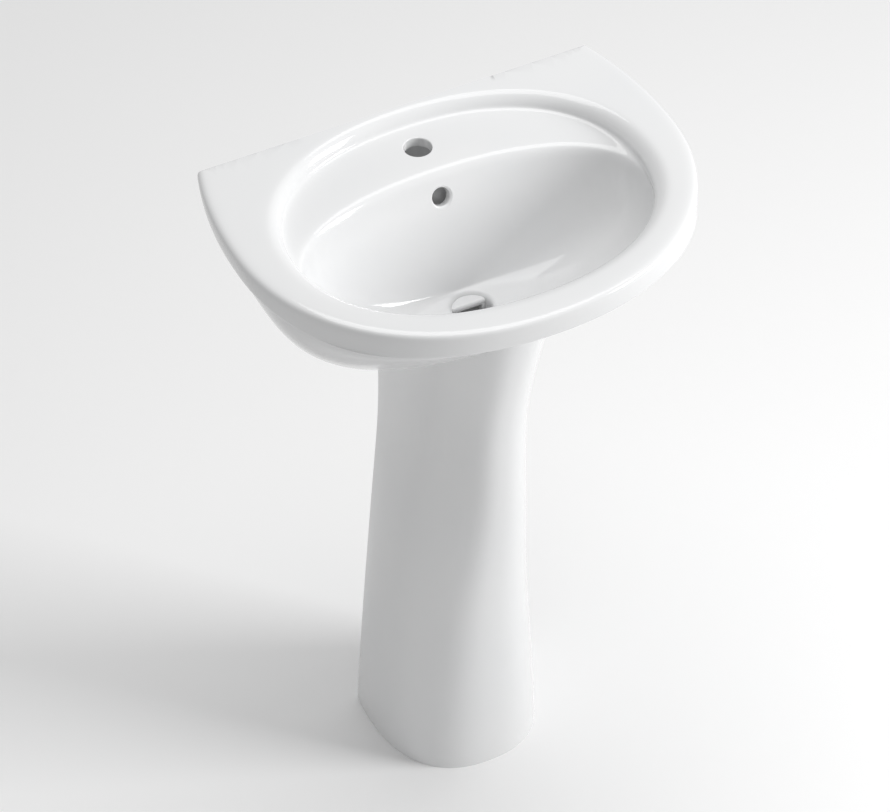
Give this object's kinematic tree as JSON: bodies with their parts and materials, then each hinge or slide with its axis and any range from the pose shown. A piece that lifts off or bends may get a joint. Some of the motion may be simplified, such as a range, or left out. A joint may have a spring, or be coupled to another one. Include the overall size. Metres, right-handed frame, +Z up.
{
  "type": "pedestal sink",
  "caption": "Flat-backed pedestal sink: a glazed china basin with an oval bowl and a tap ledge, on a hollow flared china pedestal that is open at the back.",
  "frame": {"origin": "on the floor, under the middle of the whole part's box", "axes": "+Z up, +Y towards the wall, +X to the right as seen from the front"},
  "size_m": [0.55, 0.458, 0.86],
  "materials": {
    "glazed_china": "gloss",
    "silicone": "satin",
    "zinc_steel": "satin",
    "white_nylon": "satin",
    "grey_nylon": "matte"
  },
  "bodies": {
    "root": {"basin": "glazed_china", "pedestal": "glazed_china", "seat_bead": "silicone", "wall_stud_left": "zinc_steel", "wall_stud_right": "zinc_steel", "wall_sleeve_left": "white_nylon", "wall_sleeve_right": "white_nylon", "wall_washer_left": "zinc_steel", "wall_washer_right": "zinc_steel", "wall_nut_left": "zinc_steel", "wall_nut_right": "zinc_steel", "wall_plug_left": "grey_nylon", "wall_plug_right": "grey_nylon"}
  },
  "joints": []
}
